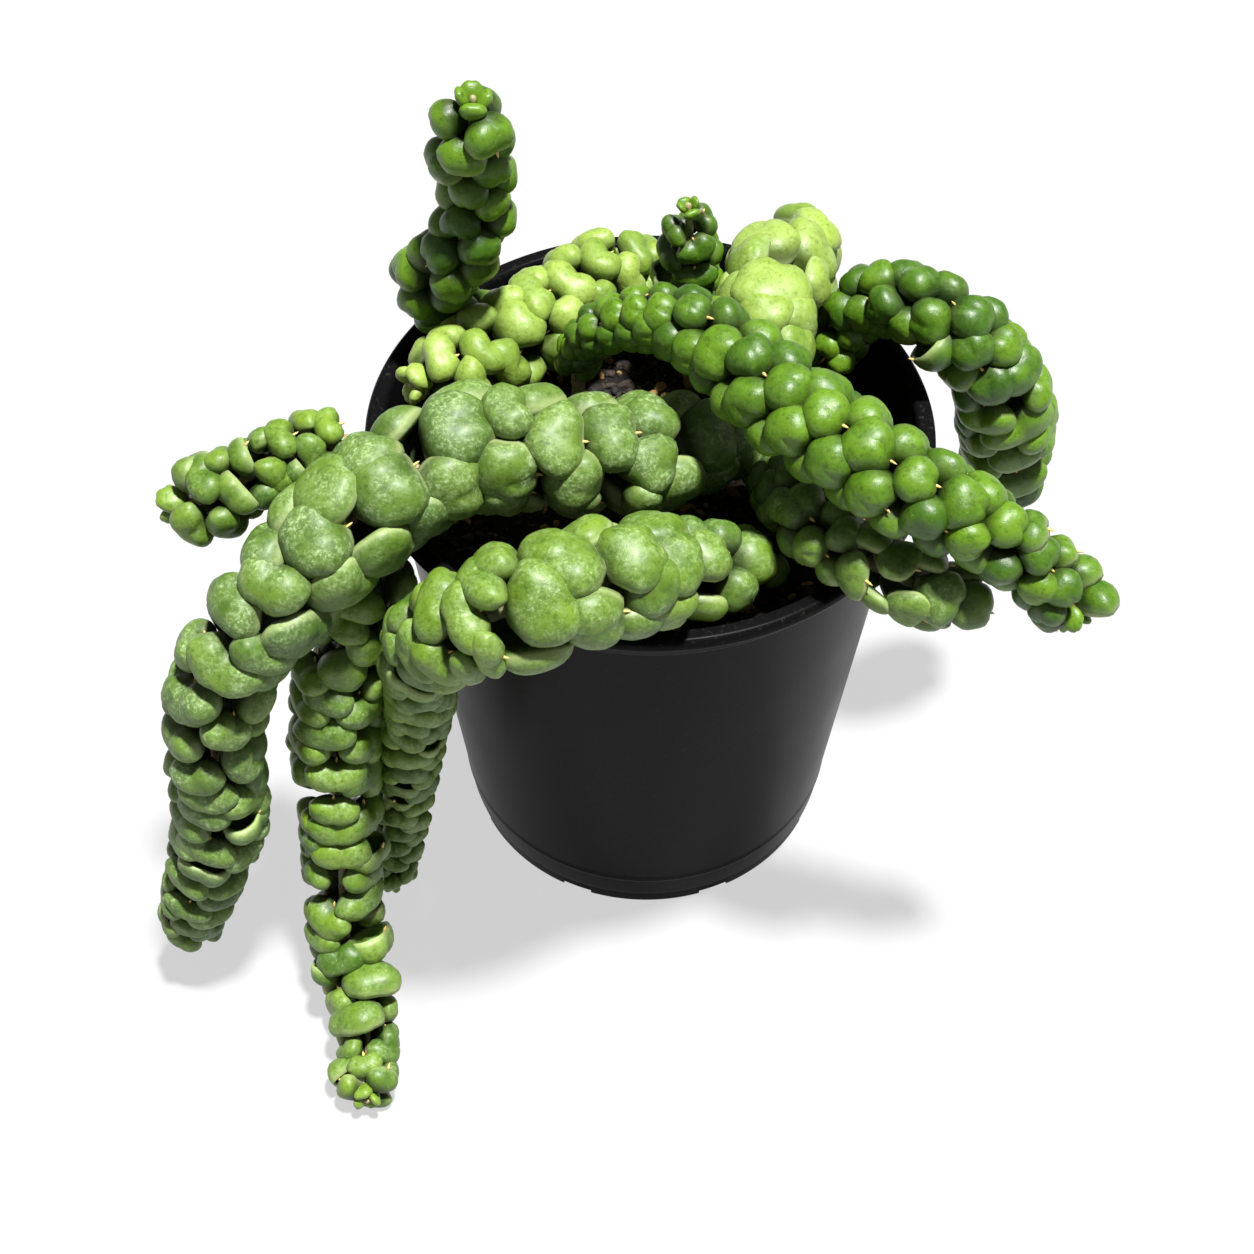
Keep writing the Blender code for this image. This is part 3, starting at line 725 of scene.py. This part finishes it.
def add_leaf(heap, strand, s, azimuth, kind, sizes, facing, bloom, tone, spin):
    """Adds one leaf of a strand at s, on the side at that azimuth in degrees."""
    reach = strand.reach_at(s)
    wide, long, tall = sizes
    detail = 0.75 + 0.55 * min(1.0, wide / (11 * MM))
    points, rows, columns, edge, hollow = leaf_points(kind, sizes, detail)
    spur_number = 1 + round(rows * 0.42) * columns
    points = turned(points, math.radians(spin), 0, 1)
    lift = math.radians(kind["lift"] + RNG.normal(0, 4))
    points = turned(points, lift, 1, 2)
    rise = max(0.0, math.sin(lift)) * long * 0.55
    middle = max(reach - tall - rise, 0.25 * reach)
    if kind["belly"] == 0:
        middle = long * abs(math.sin(lift)) + 1.2 * MM
    wrap = kind["wrap"]
    radial = middle + points[:, 2]
    bend = wrap * points[:, 0] / (middle + 0.45 * tall)
    across = radial * np.sin(bend) + (1 - wrap) * points[:, 0]
    outward = radial * np.cos(bend)
    place, along = strand.at(s)[:2]
    normal = leaf_middle(strand, s, azimuth, tall)[1]
    ahead = facing * along
    sideways = np.cross(ahead, normal)
    world = place + across[:, None] * sideways + points[:, 1:2] * ahead + outward[:, None] * normal
    # Painted shade: depth rises towards the stem, in the crevices between crowded leaves, and the
    # finish darkens the skin by it.
    depth = np.clip((reach - np.hypot(across, outward)) / (0.75 * reach), 0, 1) * (1 - hollow)
    heap.add(world, rows, columns, tone=tone, bloom=bloom, edge=edge, hollow=hollow, depth=depth)
    if RNG.random() < SPURRED:
        heart = world.mean(0)
        base = world[spur_number]
        direction = unit(0.55 * unit(base - heart) + 0.65 * ahead + 0.25 * normal)
        add_spur(heap, base - 0.15 * MM * direction, direction,
                 RNG.uniform(1.5, 2.5) * MM, RNG.uniform(0.42, 0.56) * MM)


def add_tip(heap, strand, bloom):
    """The young leaves that close a stem's end."""
    s = strand.end - 1.5 * MM
    place, along, out, side = strand.at(s)
    reach = strand.reach_at(s)
    for turn, size, ahead in TIP_LEAVES:
        sizes = [reach * size * share for share in (0.54, 0.62, 0.34)]
        points, rows, columns, edge, hollow = leaf_points(KINDS["ball"], sizes, 0.8)
        normal = math.cos(math.radians(turn)) * out + math.sin(math.radians(turn)) * side
        lean = unit(0.75 * along + 0.5 * normal)
        cap = unit(normal - normal @ lean * lean)
        centre = place + normal * reach * 0.26 + along * ahead * MM
        sideways = np.cross(lean, cap)
        world = centre + points @ np.stack([sideways, lean, cap])
        heap.add(world, rows, columns, tone=0.9, bloom=bloom * 0.5, edge=edge, hollow=hollow)


def grow(name, plan):
    """All the leaves of one strand, as one piece."""
    strand = Strand(name, plan["gain"])
    heap = Heap("tone", "bloom", "edge", "hollow", "depth", "spur")
    leafy = strand.end - strand.start
    facing = plan["facing"]
    taken = []
    for share, azimuth, kind_name, half_width, half_length, spin in plan["set"]:
        s = strand.start + share * leafy
        kind = KINDS[kind_name]
        sizes = leaf_sizes(kind, strand.reach_at(s), 1, half_width, half_length)
        taken.append((leaf_middle(strand, s, azimuth, sizes[2])[0], (sizes[0] + sizes[1]) / 2))
        add_leaf(heap, strand, s, azimuth, kind, sizes, facing,
                 plan["bloom"] * RNG.uniform(0.8, 1.1), RNG.uniform(0.35, 0.9), spin)
    largest = strand.reach.max()
    s = strand.start + (2.0 - plan["root"]) * MM
    quarter = 0
    for until, kind_name, pitch, turn, size, opened in plan["stretches"]:
        stop = min(strand.start + until * leafy, strand.end - 3.0 * MM)
        while s < stop:
            azimuth = turn + 180 / plan["around"] * (quarter % 2) + RNG.normal(0, 7)
            for opposite in np.arange(plan["around"]) * 360 / plan["around"]:
                kind = KINDS["cup" if RNG.random() < opened else kind_name]
                here = s + RNG.normal(0, 0.5) * MM
                side = azimuth + opposite + RNG.normal(0, 5)
                sizes = leaf_sizes(kind, strand.reach_at(here), size * RNG.uniform(0.88, 1.08))
                middle = leaf_middle(strand, here, side, sizes[2])[0]
                room = (sizes[0] + sizes[1]) / 2
                if all(np.linalg.norm(middle - c) > ROOM_SHARE * (room + r) for c, r in taken):
                    add_leaf(heap, strand, here, side, kind, sizes, facing,
                             plan["bloom"] * RNG.uniform(0.6, 1.1), RNG.uniform(0.1, 0.95),
                             RNG.normal(0, 8))
            s += pitch * MM * (0.5 + 0.5 * strand.reach_at(s) / largest)
            quarter += 1
    add_tip(heap, strand, plan["bloom"])
    deep, light, cover, roughness = LEAF_COLOURS[plan["colour"]]
    finish = leaf_finish("leaf_skin_" + name, deep, light, cover, roughness)
    heap.piece("leaf_pairs_" + name, finish, "leaf", strand.sleeves)
    return strand


def make_stem(strand, finish):
    """A round stem with a swelling at each joint."""
    columns = 12
    s = np.arange(0, strand.length, 1.1 * MM)
    turn = np.linspace(0, math.tau, columns, endpoint=False)
    rings = []
    for here in s:
        place, along, out, side = strand.at(here)
        radius = np.interp(here, strand.along, strand.radii)
        swell = 1 + 0.16 * math.cos(math.tau * here / (8 * MM)) ** 6
        rough = 1 + 0.03 * np.sin(3 * turn + 900 * here)
        ring = np.cos(turn)[:, None] * out + np.sin(turn)[:, None] * side
        rings.append(place + ring * (radius * 0.94 * swell * rough)[:, None])
    first, last = strand.at(0)[0], strand.at(strand.length)[0]
    heap = Heap()
    heap.add(np.vstack([first, *rings, last]), len(rings), columns)
    heap.piece("ringed_" + strand.stem, finish, "stem", [strand.stem])


# The pot


def side_radius(z):
    """The radius of the pot's tapered side at height z."""
    top = POT_HEIGHT - LIP_DEPTH - BAND_DEPTH
    low = BASE_RADIUS + FOOT_STEP
    return low + (TOP_RADIUS - low) * (z - FOOT_HEIGHT) / (top - FOOT_HEIGHT)


def eased(corners, radius=0.7, steps=4):
    """An outline of (radius, height) with each corner rounded."""
    corners = [np.array(c, float) for c in corners]
    line = [corners[0]]
    for before, corner, after in zip(corners, corners[1:], corners[2:]):
        lengths = np.linalg.norm(before - corner), np.linalg.norm(after - corner)
        cut = min(radius, 0.45 * lengths[0], 0.45 * lengths[1])
        start = corner + (before - corner) / lengths[0] * cut
        end = corner + (after - corner) / lengths[1] * cut
        for t in np.linspace(0, 1, steps):
            line.append((1 - t) ** 2 * start + 2 * t * (1 - t) * corner + t * t * end)
    return np.array(line + [corners[-1]])


def pot_outline():
    """From the pad under the base, up the outside, over the lip and down the inside."""
    band_top = POT_HEIGHT - LIP_DEPTH
    band_foot = band_top - BAND_DEPTH
    band_radius = side_radius(band_foot) + BAND_STEP
    lip_inside = RIM_RADIUS - LIP_WIDTH
    band_radius_top = lip_inside + WALL - 0.5
    base_top = BASE_LIFT + WALL + 0.3
    foot_inside = BASE_RADIUS - FOOT_WIDTH
    low_line = 13.0
    return eased([
        (0, 0), (PAD_RADIUS, 0), (PAD_RADIUS + 2, BASE_LIFT), (foot_inside - 0.8, BASE_LIFT),
        (foot_inside, 0), (BASE_RADIUS, 0), (BASE_RADIUS, FOOT_HEIGHT),
        (side_radius(FOOT_HEIGHT + 0.8), FOOT_HEIGHT + 0.8),
        (side_radius(low_line) - 0.1, low_line), (side_radius(low_line + 1) + 0.25, low_line + 0.7),
        (side_radius(low_line + 3), low_line + 3),
        (side_radius(band_foot), band_foot), (band_radius, band_foot + 0.8),
        (band_radius_top, band_top), (RIM_RADIUS - 0.6, band_top), (RIM_RADIUS, band_top + 1.0),
        (RIM_RADIUS, POT_HEIGHT - 1.0), (RIM_RADIUS - 1.0, POT_HEIGHT),
        (lip_inside + 0.8, POT_HEIGHT - 0.2), (lip_inside, POT_HEIGHT - 1.2),
        (band_radius_top - WALL, band_top), (band_radius - WALL, band_foot),
        (side_radius(band_foot) - WALL, band_foot - WALL),
        (side_radius(base_top) - WALL, base_top + 2), (side_radius(base_top) - WALL - 2, base_top),
        (0, base_top),
    ])


def pot_dust(points):
    """More dust along the lip and round the foot."""
    z = points[:, 2] / MM
    lip = smooth_step(z, POT_HEIGHT - 3, POT_HEIGHT)
    foot = 1 - smooth_step(z, 2, 16)
    return 0.25 + 0.5 * lip + 0.5 * foot


def drain_cutters():
    """Round holes through the base, and a notch in the foot beside each."""
    parts = []
    for number in range(DRAINS):
        turn = math.tau * (number + 0.5) / DRAINS
        bpy.ops.mesh.primitive_cylinder_add(
            vertices=32, radius=DRAIN_RADIUS * MM, depth=14 * MM,
            location=(DRAIN_CIRCLE * MM * math.cos(turn), DRAIN_CIRCLE * MM * math.sin(turn), 0))
        parts.append(bpy.context.object)
        middle = BASE_RADIUS - FOOT_WIDTH / 2
        bpy.ops.mesh.primitive_cube_add(
            size=1, location=(middle * MM * math.cos(turn), middle * MM * math.sin(turn), 0),
            rotation=(0, 0, turn))
        parts.append(bpy.context.object)
        parts[-1].scale = ((FOOT_WIDTH + 6) * MM, 9 * MM, 2 * 1.6 * MM)
    return parts


def make_pot():
    """The pot, turned from its outline, with its holes and notches cut and applied."""
    outline = pot_outline() * MM
    turn = np.linspace(0, math.tau, POT_SEGMENTS, endpoint=False)
    middle = outline[1:-1]
    rings = np.stack([middle[:, :1] * np.cos(turn), middle[:, :1] * np.sin(turn),
                      np.repeat(middle[:, 1:], POT_SEGMENTS, 1)], -1).reshape(-1, 3)
    points = np.vstack([(0, 0, outline[0, 1]), rings, (0, 0, outline[-1, 1])])
    faces = [face[::-1] for face in ball_faces(len(middle), POT_SEGMENTS, 0)]
    pot = make_piece("moulded_pot", points, faces, pot_finish(), ["pot"])
    cutters = drain_cutters()
    for cutter in cutters:
        cut = pot.modifiers.new("hole", "BOOLEAN")
        cut.operation = "DIFFERENCE"
        cut.object = cutter
    bpy.context.view_layer.update()
    cut_mesh = bpy.data.meshes.new_from_object(
        pot.evaluated_get(bpy.context.evaluated_depsgraph_get()))
    pot.modifiers.clear()
    pot.data = cut_mesh
    for cutter in cutters:
        bpy.data.objects.remove(cutter)
    places = np.zeros(len(cut_mesh.vertices) * 3)
    cut_mesh.vertices.foreach_get("co", places)
    cut_mesh.attributes.new("dust", "FLOAT", "POINT")
    cut_mesh.attributes["dust"].data.foreach_set(
        "value", pot_dust(places.reshape(-1, 3)).astype(np.float32))
    cut_mesh.shade_smooth()
    cut_mesh.set_sharp_from_angle(angle=math.radians(50))


# What fills the pot


def soil_height(x, y):
    """The mix's lumpy surface, in metres."""
    edge = math.hypot(x, y) / SOIL_HIGH.x
    ground = SOIL_HIGH.z - 3.0 * MM * edge ** 2
    rough = noise.fractal(Vector((x, y, 0)) / (9 * MM), 1.0, 2.1, 4)
    return min(ground + 1.3 * MM * rough - 0.6 * MM, SOIL_HIGH.z + 1.5 * MM)


def make_soil():
    low, high = SOIL_LOW.z + 0.1 * MM, SOIL_HIGH.z - 4.6 * MM
    columns, rows = 120, 46
    top_radius = SOIL_HIGH.x - 0.1 * MM
    bottom_radius = side_radius(SOIL_LOW.z / MM + 3) * MM - (WALL + 1.2) * MM
    rings = []
    turn = np.linspace(0, math.tau, columns, endpoint=False)
    for row in range(1, rows + 1):
        r = top_radius * row / rows
        rings += [(r * math.cos(a), r * math.sin(a), soil_height(r * math.cos(a), r * math.sin(a)))
                  for a in turn]
    for share in (0.15, 0.5, 1.0):
        r = top_radius + (bottom_radius - top_radius) * share
        z = high + (low - high) * share
        rings += [(r * math.cos(a), r * math.sin(a), z) for a in turn]
    points = [(0, 0, soil_height(0, 0)), *rings, (0, 0, low)]
    faces = ball_faces(rows + 3, columns, 0)
    make_piece("potting_mix_plug", points, faces, soil_finish(), ["soil"])


def lump(centre, sizes, rows=5, columns=8, rough=0.28):
    """An uneven stone's points."""
    turn = np.linspace(0, math.pi, rows + 2)
    around = np.linspace(0, math.tau, columns, endpoint=False)
    ball = np.stack([np.sin(turn)[:, None] * np.cos(around), np.sin(turn)[:, None] * np.sin(around),
                     np.repeat(np.cos(turn)[:, None], columns, 1)], -1).reshape(-1, 3)
    ball = ball[columns - 1:len(ball) - columns + 1]
    shift = Vector(RNG.uniform(0, 90, 3))
    ball = np.array([p * (1 + rough * noise.noise(Vector(p) * 1.4 + shift)) for p in ball])
    ball = ball * sizes
    ball = turned(turned(ball, RNG.uniform(0, 6.3), 0, 1), RNG.normal(0, 0.5), 1, 2)
    return ball + centre


def make_crumbs():
    """Bark, grit and fibre on the mix."""
    heap = Heap("tone")
    for _ in range(CRUMBS):
        r = (SOIL_HIGH.x - 2.2 * MM) * math.sqrt(RNG.random())
        a = RNG.uniform(0, math.tau)
        x, y = r * math.cos(a), r * math.sin(a)
        size = RNG.gamma(3.0, 0.24) * MM + 0.25 * MM
        size = min(size, 2.2 * MM)
        shape = RNG.uniform(0.8, 1.9), RNG.uniform(0.6, 1.0), RNG.uniform(0.5, 0.8)
        sizes = size * np.array(shape)
        centre = np.array((x, y, soil_height(x, y) + size * 0.2))
        heap.add(lump(centre, sizes), 5, 8, tone=RNG.random())
    heap.piece("bark_and_grit", crumb_finish(), "potting_mix")


def make_pumice():
    finish = pumice_finish()
    for name in sorted(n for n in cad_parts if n.startswith("pumice_")):
        low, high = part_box(name)
        heap = Heap()
        sizes = np.array(high - low) / 2
        heap.add(lump(np.array((low + high) / 2), sizes, 14, 22, 0.35), 14, 22)
        heap.piece("golden_" + name, finish, "pumice", [name])


# The studio


def make_camera():
    data = bpy.data.cameras.new("camera")
    data.lens = CAMERA_LENS
    data.sensor_width = 36
    camera = bpy.data.objects.new("camera", data)
    bpy.context.scene.collection.objects.link(camera)
    dip, roll = CAMERA_DIP, CAMERA_ROLL
    ahead = Vector((0, math.cos(dip), -math.sin(dip)))
    level_up = Vector((0, math.sin(dip), math.cos(dip)))
    right = math.cos(roll) * Vector((1, 0, 0)) + math.sin(roll) * level_up
    up = -math.sin(roll) * Vector((1, 0, 0)) + math.cos(roll) * level_up
    camera.matrix_world = Matrix.Translation(CAMERA_PLACE) @ Matrix(
        (right, up, -ahead)).transposed().to_4x4()
    bpy.context.scene.camera = camera


def make_sun():
    """Softened sunlight from nearly overhead."""
    data = bpy.data.lights.new("sun", "SUN")
    data.energy = SUN_ENERGY
    data.angle = SUN_ANGLE
    sun = bpy.data.objects.new("sun", data)
    sun.location = SUN_PLACE
    sun.rotation_euler = (SUN_AIM - SUN_PLACE).to_track_quat("-Z", "Y").to_euler()
    bpy.context.scene.collection.objects.link(sun)


def make_studio():
    bpy.ops.mesh.primitive_circle_add(vertices=96, radius=FLOOR_RADIUS, fill_type="NGON",
                                      location=(0, 0, -0.2 * MM))
    floor = bpy.context.object
    floor.name = "studio_floor"
    floor.data.materials.append(floor_finish())
    make_sun()
    world = bpy.data.worlds.new("soft_white")
    world.use_nodes = True
    world.node_tree.nodes["Background"].inputs["Color"].default_value = (1, 1, 1, 1)
    world.node_tree.nodes["Background"].inputs["Strength"].default_value = SKY_STRENGTH
    bpy.context.scene.world = world
    bpy.context.scene.view_settings.view_transform = "Standard"


make_camera()
make_studio()
make_pot()
make_soil()
make_crumbs()
make_pumice()
rind = stem_finish()
for strand_name, strand_plan in STRANDS.items():
    make_stem(grow(strand_name, strand_plan), rind)
